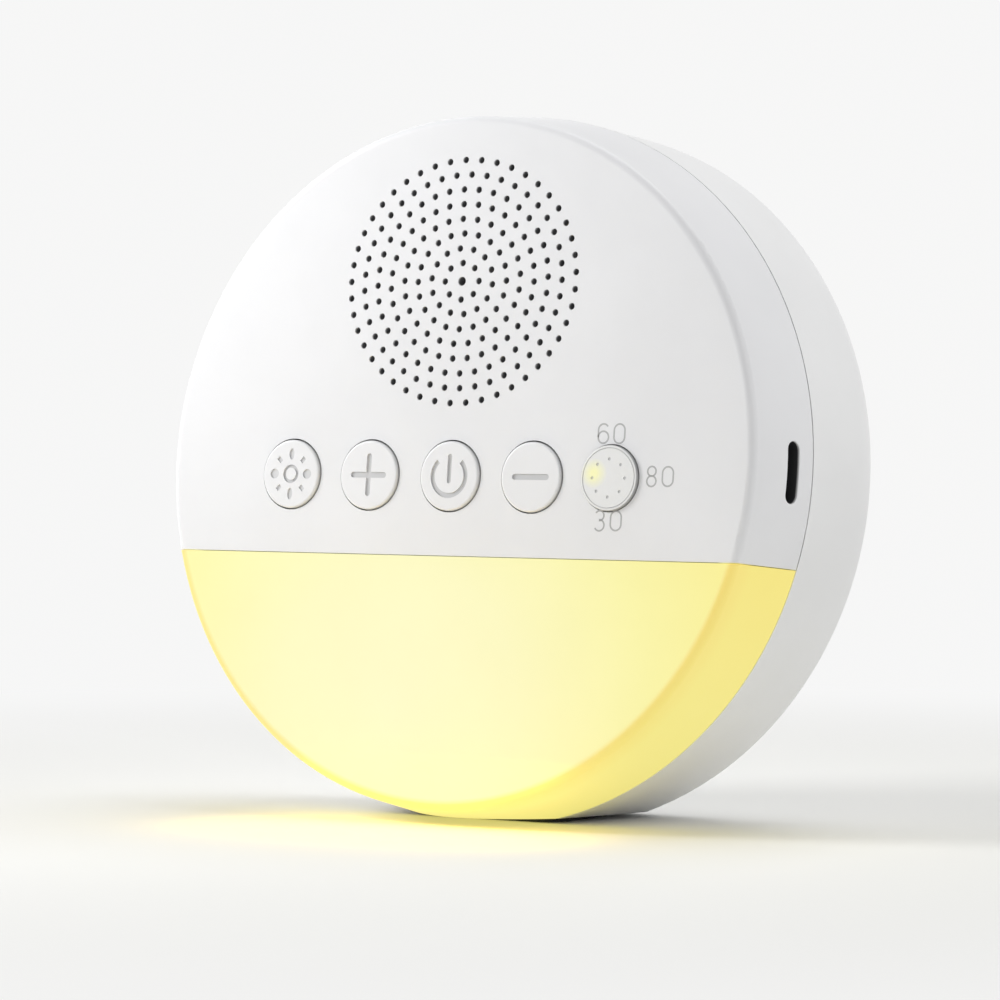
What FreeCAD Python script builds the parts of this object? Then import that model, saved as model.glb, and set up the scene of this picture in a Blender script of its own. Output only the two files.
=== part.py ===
import FreeCAD, Part
import math
import os
import re
import Sketcher

# White noise sound machine: a drum that stands on a small flat and leans back.
# Local frame of every piece: X across, Y up the face, Z out of the face, origin on the drum's axis
# in the plane of the face. seat() turns it into the standing frame, +Z up and the face towards -Y.

SIZES = [
    ("lean", 6.0, "lean of the drum axis back from upright, degrees"),
    ("face_height", 55.3, "height of the face's centre above the table"),
    ("front_radius", 53.0, "drum radius at the face, before rounding"),
    ("front_round", 1.3, "rounding of the front edge"),
    ("parting_radius", 55.0, "drum radius at the parting line"),
    ("parting_depth", 14.1, "face to parting line"),
    ("parting_gap", 0.3, "open line between front and rear shells"),
    ("rear_radius", 55.05, "largest radius of the rear shell"),
    ("rear_swell", 8.0, "depth over which the rear shell widens"),
    ("body_depth", 37.0, "face to rear face"),
    ("rear_round", 6.8, "rounding of the rear edge"),
    ("wall", 2.4, "side wall of the shells"),
    ("plate", 2.0, "face plate of the front shell and diffuser"),
    ("foot_proud", 0.8, "rubber foot below the shell's flat"),
    ("foot_sink", 0.6, "foot recess in the flat"),
    ("foot_width", 26.0, "rubber foot across"),
    ("foot_length", 18.0, "rubber foot front to back"),
    ("foot_corner", 4.0, "corner radius of the foot"),
    ("foot_start", 15.0, "front of the foot behind the drum's face"),
    ("chord_drop", 14.4, "drum centre down to the diffuser's straight edge"),
    ("chord_gap", 0.12, "gap between front shell and diffuser"),
    ("partition", 1.6, "thickness of the light partition"),
    ("lip_length", 1.8, "rear shell's lip inside the front shell"),
    ("lip_clearance", 0.45, "lip to front wall, radial"),
    ("lip_wall", 1.5, "thickness of the lip"),
    ("lip_root", 2.6, "depth of the lip's root behind the parting line"),
    ("grille_up", 27.6, "drum centre up to the speaker's axis"),
    ("ring_first", 2.95, "radius of the grille's first ring"),
    ("ring_pitch", 2.38, "radial pitch of the grille's rings"),
    ("grille_wide", 1.05, "grille across, over round"),
    ("grille_tall", 0.953, "grille up, over round"),
    ("hole_radius", 0.52, "grille hole radius"),
    ("centre_hole_radius", 0.7, "middle hole radius"),
    ("row_drop", 2.25, "drum centre down to the row of controls"),
    ("light_place", 29.7, "light button left of the drum centre"),
    ("plus_place", 14.95, "plus button left of the drum centre"),
    ("minus_place", 14.75, "minus button right of the drum centre"),
    ("timer_place", 28.6, "timer right of the drum centre"),
    ("button_radius", 5.35, "button cap radius"),
    ("button_gap", 0.2, "button cap to its opening, radial"),
    ("button_proud", 0.45, "button cap above the face"),
    ("button_round", 0.4, "rounding of the cap's edge"),
    ("button_travel", 0.5, "press of a button"),
    ("flange_reach", 1.0, "cap's flange beyond the cap, radial"),
    ("flange_thick", 1.0, "thickness of the cap's flange"),
    ("slide_gap", 0.05, "running clearance"),
    ("stem_radius", 2.0, "stem under a cap"),
    ("symbol_depth", 0.25, "depth of the sunk symbols"),
    ("symbol_stroke", 0.9, "width of the plus and minus strokes"),
    ("symbol_length", 6.6, "length of the plus and minus strokes"),
    ("power_radius", 3.0, "radius of the power symbol's arc"),
    ("power_bar", 4.5, "length of the power symbol's bar"),
    ("power_bar_up", 1.1, "power symbol's middle up to its bar's middle"),
    ("power_stroke", 0.75, "stroke of the power symbol"),
    ("sun_radius", 1.2, "radius of the light symbol's ring"),
    ("sun_stroke", 0.5, "stroke of the light symbol's ring"),
    ("ray_long", 1.8, "long ray of the light symbol"),
    ("ray_short", 0.65, "short ray of the light symbol, across and up"),
    ("ray_width", 0.95, "width of a long ray"),
    ("ray_depth", 0.2, "depth of the light symbol's rays"),
    ("ray_circle", 3.1, "light symbol's middle to the middle of its rays"),
    ("dial_radius", 4.95, "timer dial radius"),
    ("dial_gap", 0.15, "dial to its opening, radial"),
    ("dial_proud", 0.5, "dial above the face"),
    ("dial_height", 3.0, "dial's height"),
    ("dial_round", 0.2, "rounding of the dial's edge"),
    ("dial_press", 0.5, "press of the dial"),
    ("rim_circle", 4.5, "radius of the line inside the dial's rim"),
    ("rim_line", 0.14, "width of that line"),
    ("dot_depth", 0.12, "depth of a dial dot"),
    ("dot_radius", 0.24, "radius of a dial dot"),
    ("dot_circle", 2.85, "radius of the ring of dots"),
    ("shaft_radius", 2.0, "encoder shaft radius"),
    ("shaft_grip", 1.6, "shaft inside the dial"),
    ("hub_radius", 3.2, "encoder rotor radius"),
    ("hub_height", 2.4, "encoder rotor height"),
    ("encoder_side", 9.0, "encoder housing side"),
    ("encoder_height", 5.0, "encoder housing height"),
    ("encoder_wall", 0.8, "floor of the encoder housing"),
    ("board_thick", 1.6, "main board thickness"),
    ("board_left", 46.0, "main board's left end from the drum centre"),
    ("board_right", 47.2, "main board's right end from the drum centre"),
    ("board_up", 8.8, "main board's top edge above the drum centre"),
    ("board_down", 12.6, "main board's lower edge below the drum centre"),
    ("post_radius", 2.5, "board post radius"),
    ("post_near", 21.0, "inner board posts from the drum centre"),
    ("post_far", 41.5, "outer board posts from the drum centre"),
    ("post_up", 6.2, "upper board posts above the drum centre"),
    ("post_down", 10.6, "lower board posts below the drum centre"),
    ("small_screw_radius", 1.0, "board screw shank radius"),
    ("small_head_radius", 1.9, "board screw head radius"),
    ("small_head", 1.2, "board screw head height"),
    ("small_screw_length", 4.8, "board screw length under the head"),
    ("small_pilot", 4.2, "pilot hole depth in the board posts"),
    ("thread_gap", 0.03, "screw in its pilot hole, radial"),
    ("switch_side", 6.0, "tact switch side"),
    ("switch_height", 3.5, "tact switch body height"),
    ("plunger_radius", 1.7, "tact switch plunger radius"),
    ("plunger_out", 1.5, "plunger above the switch body"),
    ("plunger_in", 1.0, "plunger inside the switch body"),
    ("usb_width", 8.94, "USB-C shell width"),
    ("usb_height", 3.26, "USB-C shell height"),
    ("usb_length", 7.35, "USB-C shell length"),
    ("usb_wall", 0.3, "USB-C shell wall"),
    ("usb_back", 1.2, "closed back of the USB-C shell"),
    ("usb_depth", 9.5, "face to the USB-C slot's middle"),
    ("usb_lift", 0.3, "USB-C slot below the drum centre"),
    ("usb_sink", 4.0, "USB-C mouth inside the drum's side"),
    ("slot_length", 9.3, "length of the USB-C slot in the side"),
    ("slot_width", 2.8, "width of the USB-C slot in the side"),
    ("tongue_width", 6.69, "USB-C tongue width"),
    ("tongue_thick", 0.7, "USB-C tongue thickness"),
    ("tongue_length", 4.45, "USB-C tongue length"),
    ("mesh_thick", 0.25, "dust mesh thickness"),
    ("speaker_radius", 22.0, "speaker flange radius"),
    ("seat_wall", 0.9, "ring round the speaker"),
    ("seat_gap", 0.3, "speaker in its ring, radial"),
    ("gasket_inner", 20.3, "foam gasket's inner radius"),
    ("gasket_thick", 2.35, "foam gasket thickness"),
    ("flange_steel", 0.8, "speaker basket steel"),
    ("basket_hole", 19.2, "basket's open radius"),
    ("basket_depth", 9.6, "speaker flange to top plate"),
    ("basket_foot", 13.5, "basket floor radius"),
    ("surround_inner", 16.4, "surround's inner radius"),
    ("surround_thick", 0.3, "surround sheet"),
    ("cone_thick", 0.35, "cone paper"),
    ("cone_drop", 5.0, "depth of the cone"),
    ("coil_radius", 6.6, "voice coil former radius"),
    ("former_wall", 0.2, "voice coil former wall"),
    ("coil_wall", 0.45, "voice coil winding"),
    ("cap_rise", 2.0, "dust cap's rise"),
    ("coil_gap", 0.25, "voice coil in the magnet gap, radial"),
    ("top_plate_thick", 2.0, "top plate thickness"),
    ("magnet_radius", 14.5, "magnet radius"),
    ("magnet_inner", 8.4, "magnet's inner radius"),
    ("magnet_thick", 6.0, "magnet thickness"),
    ("yoke_thick", 2.0, "yoke plate thickness"),
    ("speaker_boss_reach", 2.6, "speaker screw axis outside the flange"),
    ("speaker_boss_radius", 2.2, "speaker screw boss radius"),
    ("washer_radius", 3.0, "speaker screw washer head radius"),
    ("washer_thick", 0.9, "speaker screw head height"),
    ("case_screw_radius", 1.3, "case screw shank radius"),
    ("case_head_radius", 2.4, "case screw head radius"),
    ("case_head", 1.6, "case screw head height"),
    ("case_screw_length", 10.0, "case screw length under the head"),
    ("case_pilot", 6.5, "pilot hole depth in the front posts"),
    ("case_bore_radius", 2.7, "screwdriver bore in the rear posts"),
    ("case_post_radius", 4.2, "case post radius"),
    ("case_seat", 18.0, "face to the case screw's seat"),
    ("head_slot", 0.6, "slot width in screw heads"),
    ("head_slot_depth", 0.7, "slot depth in screw heads"),
    ("upper_post_place", 41.5, "upper case screws from the middle"),
    ("upper_post_up", 22.0, "upper case screws above the drum centre"),
    ("lower_post_place", 36.0, "lower case screws from the middle"),
    ("lower_post_down", 24.0, "lower case screws below the drum centre"),
    ("light_board_depth", 12.0, "face to the light board"),
    ("light_board_thick", 1.2, "light board thickness"),
    ("light_board_radius", 49.4, "light board's round edge"),
    ("light_board_gap", 2.6, "diffuser's chord down to the light board"),
    ("reflector_thick", 0.6, "reflector sheet thickness"),
    ("led_side", 3.5, "LED side"),
    ("led_height", 1.3, "LED height"),
    ("led_circle", 33.0, "radius of the arc of LEDs"),
    ("led_count", 6, "number of LEDs"),
    ("led_step", 20.0, "degrees between LEDs"),
    ("battery_width", 50.0, "battery pouch width"),
    ("battery_height", 33.0, "battery pouch height"),
    ("battery_thick", 8.0, "battery pouch thickness"),
    ("battery_drop", 25.0, "drum centre down to the battery's middle"),
    ("tape_thick", 0.8, "battery tape thickness"),
    ("tape_margin", 3.0, "tape inside the battery's edge"),
    ("socket_width", 6.0, "lead socket width"),
    ("socket_height", 4.6, "lead socket height"),
    ("socket_length", 5.6, "lead socket length"),
    ("plug_length", 3.0, "lead plug behind its socket"),
    ("terminal_width", 9.0, "speaker terminal strip's width"),
    ("terminal_thick", 1.2, "speaker terminal strip's thickness"),
    ("yoke_route", 28.0, "face to the speaker lead's rearmost run"),
    ("light_wire_drop", 22.0, "drum centre down to the light board's wires"),
    ("wire_radius", 0.6, "insulated wire radius"),
    ("wire_pitch", 2.0, "distance between a lead's two wires"),
    ("can_radius", 3.15, "capacitor radius"),
    ("can_height", 7.1, "capacitor height"),
    ("speaker_wire_up", 3.75, "speaker lead's crossing above the drum centre"),
    ("light_wire_depth", 20.0, "face to the first bend of the light board's wires"),
    ("light_wire_rise", 7.0, "rise of those wires to their second bend"),
    ("overcut", 5.0, "how far a cutting shape runs past the part"),
]

doc = FreeCAD.newDocument("sound_machine")
sheet = doc.addObject("Spreadsheet::Sheet", "sizes")
for row, (alias, value, meaning) in enumerate(SIZES, start=1):
    sheet.set("A%d" % row, alias)
    sheet.set("B%d" % row, str(value))
    sheet.set("C%d" % row, meaning)
    sheet.setAlias("B%d" % row, alias)
doc.recompute()

ALIASES = set(alias for alias, value, meaning in SIZES)
NODES = []


def size(text):
    """The value of an expression in the sheet's aliases."""
    return float(sheet.evalExpression(str(text)))


def linked(text):
    """The expression as another object reads it from the sheet."""
    return re.sub(r"[a-z_]+", lambda m: "sizes." + m.group(0) if m.group(0) in ALIASES else m.group(0),
                  str(text))


def bind(thing, **expressions):
    for name, text in expressions.items():
        thing.setExpression(name, linked(text))


def depth_middle():
    """Half way between the foremost and rearmost points of the leaning drum."""
    turn = math.radians(size("lean"))
    flat_radius = size("front_radius") - size("front_round") * math.tan(math.radians(45) - draft() / 2)
    front = -flat_radius * math.sin(turn)
    corner = size("body_depth - rear_round") * math.cos(turn)
    rear = corner + size("rear_radius - rear_round") * math.sin(turn) + size("rear_round")
    return (front + rear) / 2


def draft():
    return math.atan2(size("parting_radius - front_radius"), size("parting_depth"))


def seat(thing, across=0, up=0, out=0, spin=0):
    """Places a piece of the local frame in the standing drum."""
    turn = math.radians(size("lean"))
    x, v, w = size(across), size(up), size(out)
    base = FreeCAD.Vector(x, v * math.sin(turn) - w * math.cos(turn) - depth_middle(),
                          size("face_height") + v * math.cos(turn) + w * math.sin(turn))
    tilt = FreeCAD.Rotation(FreeCAD.Vector(1, 0, 0), 90 - size("lean"))
    own = FreeCAD.Rotation(FreeCAD.Vector(0, 0, 1), spin)
    thing.Placement = FreeCAD.Placement(base, tilt.multiply(own))


def node(thing, label):
    thing.Label = label
    NODES.append(thing)
    return thing


def origin_item(body, role):
    return [feature for feature in body.Origin.OriginFeatures if feature.Role == role][0]


def new_sketch(body, role, offset="0"):
    sketch = body.newObject("Sketcher::SketchObject", body.Name + "_sketch")
    sketch.AttachmentSupport = [(origin_item(body, role), "")]
    sketch.MapMode = "FlatFace"
    sketch.setExpression(".AttachmentOffset.Base.z", linked(offset))
    return sketch


def pin(sketch, geometry, point, across, up):
    """Fixes one point of a sketch at two expressions from the origin."""
    for kind, axis, text in (("DistanceX", -2, across), ("DistanceY", -1, up)):
        value = size(text)
        if abs(value) < 1e-9:
            sketch.addConstraint(Sketcher.Constraint("PointOnObject", geometry, point, axis))
        elif value > 0:
            index = sketch.addConstraint(Sketcher.Constraint(kind, -1, 1, geometry, point, value))
            sketch.setExpression("Constraints[%d]" % index, linked(text))
        else:
            index = sketch.addConstraint(Sketcher.Constraint(kind, geometry, point, -1, 1, -value))
            sketch.setExpression("Constraints[%d]" % index, linked("-(%s)" % text))


def draw_polygon(sketch, points):
    places = [FreeCAD.Vector(size(a), size(b), 0) for a, b in points]
    first = sketch.GeometryCount
    count = len(points)
    for k in range(count):
        sketch.addGeometry(Part.LineSegment(places[k], places[(k + 1) % count]))
    for k in range(count):
        sketch.addConstraint(Sketcher.Constraint("Coincident", first + k, 2, first + (k + 1) % count, 1))
    for k in range(count):
        pin(sketch, first + k, 1, points[k][0], points[k][1])


def draw_circle(sketch, across, up, radius):
    centre = FreeCAD.Vector(size(across), size(up), 0)
    k = sketch.addGeometry(Part.Circle(centre, FreeCAD.Vector(0, 0, 1), size(radius)))
    index = sketch.addConstraint(Sketcher.Constraint("Radius", k, size(radius)))
    sketch.setExpression("Constraints[%d]" % index, linked(radius))
    pin(sketch, k, 3, across, up)


def draw_box(sketch, across, up, width, height):
    left, right = "%s - (%s)/2" % (across, width), "%s + (%s)/2" % (across, width)
    low, high = "%s - (%s)/2" % (up, height), "%s + (%s)/2" % (up, height)
    draw_polygon(sketch, [(left, low), (right, low), (right, high), (left, high)])


def extrude(body, kind, sketch, length):
    feature = body.newObject("PartDesign::" + kind, body.Name + "_" + kind.lower())
    feature.Profile = sketch
    bind(feature, Length=length)
    body.Tip = feature
    doc.recompute()
    return feature


def pad(body, top, length, draw, kind="Pad"):
    """A pad between top and top + length, or a pocket of that length below top."""
    sketch = new_sketch(body, "XY_Plane", top)
    draw(sketch)
    return extrude(body, kind, sketch, length)


def pocket(body, top, length, draw):
    before = body.Shape.Volume
    feature = pad(body, top, length, draw, "Pocket")
    if body.Shape.Volume >= before:
        raise RuntimeError("pocket cuts nothing in " + body.Label)
    return feature


def turned(name, points):
    """A body revolved about its own Z: points are (radius, height out of the face)."""
    body = doc.addObject("PartDesign::Body", name)
    sketch = new_sketch(body, "XZ_Plane")
    draw_polygon(sketch, points)
    feature = body.newObject("PartDesign::Revolution", name + "_revolution")
    feature.Profile = sketch
    feature.ReferenceAxis = (sketch, ["V_Axis"])
    feature.Angle = 360
    body.Tip = feature
    doc.recompute()
    return body


def solid_body(name):
    return doc.addObject("PartDesign::Body", name)


def round_edges(body, radius, test):
    """Rounds the edges of the body's last feature that pass a test."""
    last = body.Tip
    names = []
    for k, edge in enumerate(last.Shape.Edges, start=1):
        if test(edge):
            names.append("Edge%d" % k)
    fillet = body.newObject("PartDesign::Fillet", body.Name + "_fillet")
    fillet.Base = (last, names)
    bind(fillet, Radius=radius)
    body.Tip = fillet
    doc.recompute()
    return fillet


def ring_at(radius, height):
    """Test for a full circular edge of a radius at a height."""
    r, z = size(radius), size(height)

    def test(edge):
        if not isinstance(edge.Curve, Part.Circle) or len(edge.Vertexes) > 1:
            return False
        return abs(edge.Curve.Radius - r) < 0.01 and abs(edge.Curve.Center.z - z) < 0.01
    return test


def upright_at(height_min):
    """Test for straight edges along the local Z."""
    def test(edge):
        if not isinstance(edge.Curve, (Part.Line, Part.LineSegment)):
            return False
        way = edge.tangentAt(edge.FirstParameter)
        return abs(abs(way.z) - 1) < 0.001 and edge.Length > height_min
    return test


def pattern(body, feature, count, angle=360):
    copies = body.newObject("PartDesign::PolarPattern", body.Name + "_pattern")
    copies.Originals = [feature]
    copies.Axis = (origin_item(body, "Z_Axis"), [""])
    copies.Angle = angle
    copies.Occurrences = count
    body.Tip = copies
    doc.recompute()
    return copies


def cylinder(name, radius, height, across="0", up="0", low="0"):
    """A Part cylinder along the local Z, standing on the height low."""
    rod = doc.addObject("Part::Cylinder", name)
    bind(rod, Radius=radius, Height=height)
    seat(rod, across, up, low)
    return rod


def block(name, width, height, thick, across="0", up="0", low="0"):
    """A Part box centred on a point, standing on the height low."""
    box = doc.addObject("Part::Box", name)
    bind(box, Length=width, Width=height, Height=thick)
    seat(box, "%s - (%s)/2" % (across, width), "%s - (%s)/2" % (up, height), low)
    return box


def boolean(kind, name, base, tool):
    result = doc.addObject("Part::" + kind, name)
    result.Base = base
    result.Tool = tool
    doc.recompute()
    return result


def group(name, members):
    """Separate solids kept as one node."""
    result = doc.addObject("Part::Compound", name)
    result.Links = members
    doc.recompute()
    return node(result, name)


def fuse(name, members):
    result = doc.addObject("Part::MultiFuse", name)
    result.Shapes = members
    doc.recompute()
    return result


# Where things are, from the same sizes
CONTROLS = [("light", "-light_place"), ("plus", "-plus_place"), ("power", "0"), ("minus", "minus_place")]
POSTS = [("post_near", "post_up"), ("-post_near", "post_up"), ("post_near", "-post_down"),
         ("-post_near", "-post_down"), ("post_far", "post_up"), ("-post_far", "post_up")]
UPPER_SCREWS = [("upper_post_place", "upper_post_up"), ("-upper_post_place", "upper_post_up")]
LOWER_SCREWS = [("lower_post_place", "-lower_post_down"), ("-lower_post_place", "-lower_post_down")]
BOARD_FACE = "-(usb_depth + usb_height/2)"
BOARD_BACK = "-(usb_depth + usb_height/2 + board_thick)"
LIGHT_BACK = "-(light_board_depth + light_board_thick)"
GASKET_BACK = "-(plate + mesh_thick + gasket_thick)"
FLANGE_BACK = "-(plate + mesh_thick + gasket_thick + flange_steel)"
TOP_PLATE_FACE = "-(plate + mesh_thick + gasket_thick + flange_steel + basket_depth)"
SCREW_ANGLES = [30, 150, 210, 330]
DRUM = "(2*parting_radius + 2*overcut)"


def speaker_screw_places():
    reach = "(speaker_radius + speaker_boss_reach)"
    return [("%s*cos(%d deg)" % (reach, a), "grille_up + %s*sin(%d deg)" % (reach, a)) for a in SCREW_ANGLES]


def circles(places, radius):
    def draw(sketch):
        for across, up in places:
            draw_circle(sketch, across, up, radius)
    return draw


def rectangle(across, up, width, height):
    return lambda sketch: draw_box(sketch, across, up, width, height)


# Front blank: plate and side wall in one turned shape, used by the front shell and by the diffuser
def front_blank(name):
    body = turned(name, [("0", "0"), ("front_radius", "0"), ("parting_radius", "-parting_depth"),
                         ("parting_radius - wall", "-parting_depth"), ("front_radius - wall", "-plate"),
                         ("0", "-plate")])
    round_edges(body, "front_round", ring_at("front_radius", "0"))
    return body


# Front shell: moulded white, with grille, openings, board posts and light partition
front = front_blank("front_shell_blank")
pocket(front, "overcut", "body_depth", rectangle("0", "-chord_drop - parting_radius/2 - overcut/2", DRUM,
                                               "parting_radius + overcut"))
pad(front, "-(parting_depth - lip_length - 2*parting_gap)",
    "parting_depth - lip_length - 2*parting_gap - plate",
    rectangle("0", "-chord_drop + partition/2", "2*sqrt((front_radius - wall/2)^2 - chord_drop^2)",
              "partition"))
pad(front, BOARD_FACE, "usb_depth + usb_height/2 - plate", circles(POSTS, "post_radius"))
pad(front, LIGHT_BACK, "light_board_depth + light_board_thick - plate", circles(UPPER_SCREWS,
                                                                                "case_post_radius"))
pad(front, FLANGE_BACK, "mesh_thick + gasket_thick + flange_steel",
    circles(speaker_screw_places(), "speaker_boss_radius"))


def speaker_ring(sketch):
    draw_circle(sketch, "0", "grille_up", "speaker_radius + seat_gap")
    draw_circle(sketch, "0", "grille_up", "speaker_radius + seat_gap + seat_wall")


ring_low = "-(plate + mesh_thick + gasket_thick/2)"
pad(front, ring_low, "mesh_thick + gasket_thick/2", speaker_ring)
pocket(front, BOARD_FACE + " + small_pilot", "small_pilot",
       circles(POSTS, "small_screw_radius + thread_gap"))
pocket(front, LIGHT_BACK + " + case_pilot", "case_pilot",
       circles(UPPER_SCREWS, "case_screw_radius + thread_gap"))
pocket(front, FLANGE_BACK + " + gasket_thick", "gasket_thick",
       circles(speaker_screw_places(), "small_screw_radius + thread_gap"))


def openings(sketch):
    for label, place in CONTROLS:
        draw_circle(sketch, place, "-row_drop", "button_radius + button_gap")
    draw_circle(sketch, "timer_place", "-row_drop", "dial_radius + dial_gap")


pocket(front, "overcut", "2*overcut", openings)
pocket(front, "overcut", "plate + overcut + mesh_thick", circles([("0", "grille_up")], "centre_hole_radius"))


# Grille rings from the middle: holes in the ring, and the turn of its first hole in degrees
GRILLE = [(8, 0.0), (14, -6.0), (20, 0.0), (25, 6.0), (31, -1.0), (36, 2.0), (41, 0.0), (45, 3.5)]


def ring_holes(ring, count, first):
    radius = "(ring_first + %d*ring_pitch)" % ring
    places = []
    for k in range(count):
        turn = "%.4f deg" % (first + 360.0 * k / count)
        places.append(("grille_wide*%s*cos(%s)" % (radius, turn),
                       "grille_up + grille_tall*%s*sin(%s)" % (radius, turn)))
    return circles(places, "hole_radius")


for ring, (count, first) in enumerate(GRILLE):
    pocket(front, "overcut", "plate + overcut + mesh_thick", ring_holes(ring, count, first))
seat(front)


def slot_tool(name, width, height, length, across):
    """A rounded bar across the drum, such as the USB-C outline."""
    body = solid_body(name)
    sketch = new_sketch(body, "YZ_Plane", across)
    draw_box(sketch, "0", "-usb_depth", width, height)
    extrude(body, "Pad", sketch, length)

    def lengthwise(edge):
        way = edge.tangentAt(edge.FirstParameter)
        return abs(abs(way.x) - 1) < 0.001
    round_edges(body, "(%s)/2 - slide_gap" % height, lengthwise)
    seat(body, "0", "-usb_lift", "0")
    return body


USB_MOUTH = "parting_radius - usb_sink"
usb_opening = slot_tool("usb_opening", "slot_length", "slot_width", "wall + 2*overcut",
                        "parting_radius - wall - overcut")


front_shell = node(boolean("Cut", "front_shell_slotted", front, usb_opening), "front_shell")


# Planes of the table side: everything above the shells' flat, and above the floor of the rear shell
def above(name, height):
    box = doc.addObject("Part::Box", name)
    bind(box, Length=DRUM, Width="2*body_depth + 2*parting_radius", Height="2*face_height + overcut")
    box.Placement = FreeCAD.Placement(FreeCAD.Vector(-size(DRUM) / 2, -size("body_depth + parting_radius"),
                                                     size(height)), FreeCAD.Rotation())
    return box


above_flat = above("above_flat", "foot_proud")
above_floor = above("above_floor", "foot_proud + wall")

# Light diffuser: milky moulding that closes the drum below the chord
lens = front_blank("light_diffuser_blank")
pocket(lens, "overcut", "body_depth", rectangle("0", "-chord_drop - chord_gap + parting_radius + overcut/2",
                                                DRUM,
                                              "2*parting_radius + overcut"))
pad(lens, "-light_board_depth", "light_board_depth - plate", circles(LOWER_SCREWS, "case_post_radius"))
pocket(lens, "-light_board_depth + case_pilot", "case_pilot",
       circles(LOWER_SCREWS, "case_screw_radius + thread_gap"))
seat(lens)
light_diffuser = node(boolean("Common", "light_diffuser_cut", lens, above_flat), "light_diffuser")

# Rear shell: moulded white cover with four screw posts, a lip and a flat with the foot's recess
rear_blank = turned("rear_blank", [("0", "-body_depth"), ("rear_radius", "-body_depth"),
                                   ("rear_radius", "-parting_depth - rear_swell"),
                                   ("parting_radius", "-parting_depth - parting_gap"),
                                   ("0", "-parting_depth - parting_gap")])
round_edges(rear_blank, "rear_round", ring_at("rear_radius", "-body_depth"))
seat(rear_blank)
rear_hollow = turned("rear_hollow", [("0", "-body_depth + wall"), ("rear_radius - wall",
                                                                   "-body_depth + wall"),
                                     ("rear_radius - wall", "-parting_depth - rear_swell"),
                                     ("parting_radius - wall", "-parting_depth - parting_gap"),
                                     ("parting_radius - wall", "-parting_depth + overcut"),
                                     ("0", "-parting_depth + overcut")])
round_edges(rear_hollow, "rear_round - wall", ring_at("rear_radius - wall", "-body_depth + wall"))
seat(rear_hollow)
rear_lip = turned("rear_lip", [("parting_radius - wall - lip_clearance", "-parting_depth + lip_length"),
                               ("parting_radius - wall - lip_clearance", "-parting_depth - parting_gap"),
                               ("parting_radius - wall/2", "-parting_depth - parting_gap"),
                               ("parting_radius - wall/2", "-parting_depth - lip_root"),
                               ("parting_radius - wall - lip_clearance - lip_wall",
                                "-parting_depth - lip_root"),
                               ("parting_radius - wall - lip_clearance - lip_wall",
                                "-parting_depth + lip_length")])
seat(rear_lip)
rear_cut = boolean("Common", "rear_cut", rear_blank, above_flat)
rear_room = boolean("Common", "rear_room", rear_hollow, above_floor)
rear_case = boolean("Cut", "rear_case", rear_cut, rear_room)


def every(name, make, places, *sizes, **words):
    return [make("%s_%d" % (name, k), *sizes, across=across, up=up, **words)
            for k, (across, up) in enumerate(places, start=1)]


POST_LENGTH = "body_depth - wall/2 - light_board_depth - light_board_thick"
ALL_SCREWS = UPPER_SCREWS + LOWER_SCREWS
posts = every("rear_post", cylinder, ALL_SCREWS, "case_post_radius", POST_LENGTH, low="-body_depth + wall/2")
rear_solid = fuse("rear_solid", [rear_case, rear_lip] + posts)
bores = every("rear_bore", cylinder, ALL_SCREWS, "case_bore_radius", "body_depth - case_seat + overcut",
              low="-body_depth - overcut")
bores += every("rear_clearance", cylinder, ALL_SCREWS, "case_screw_radius + 2*slide_gap", "body_depth",
               low="-body_depth - overcut")
foot_room = doc.addObject("Part::Box", "foot_room")
bind(foot_room, Length="foot_width", Width="foot_length", Height="foot_proud + foot_sink")
FOOT_BASE = FreeCAD.Vector(-size("foot_width") / 2, size("foot_start") - depth_middle()
                           - size("face_height") * math.sin(math.radians(size("lean"))), 0)
foot_room.Placement = FreeCAD.Placement(FOOT_BASE, FreeCAD.Rotation())
rear_cuts = fuse("rear_cuts", bores + [foot_room])
rear_shell = node(boolean("Cut", "rear_shell_cut", rear_solid, rear_cuts), "rear_shell")

# Rubber foot, glued in the recess of the flat
foot = solid_body("rubber_foot")
pad(foot, "0", "foot_proud + foot_sink",
    rectangle("0", "0", "foot_width - 2*slide_gap", "foot_length - 2*slide_gap"))
round_edges(foot, "foot_corner", upright_at(size("foot_sink") / 2))
foot.Placement = FreeCAD.Placement(FOOT_BASE + FreeCAD.Vector(size("foot_width") / 2,
                                                              size("foot_length") / 2, 0),
                                   FreeCAD.Rotation())
node(foot, "rubber_foot")


# Push buttons: moulded caps with sunk symbols, held behind the face by a flange
def button_cap(label):
    body = solid_body(label + "_cap")
    pad(body, "-plate - slide_gap - flange_thick", "plate + slide_gap + flange_thick + button_proud",
        circles([("0", "0")], "button_radius"))
    round_edges(body, "button_round", ring_at("button_radius", "button_proud"))
    pad(body, "-plate - slide_gap - flange_thick", "flange_thick",
        circles([("0", "0")], "button_radius + flange_reach"))
    stem_end = BOARD_FACE + " + switch_height + plunger_out"
    pad(body, stem_end, "-(%s) - plate - slide_gap - flange_thick" % stem_end, circles([("0", "0")],
                                                                                       "stem_radius"))
    return body


def sunk(body, draw):
    pocket(body, "button_proud + overcut", "symbol_depth + overcut", draw)


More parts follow.
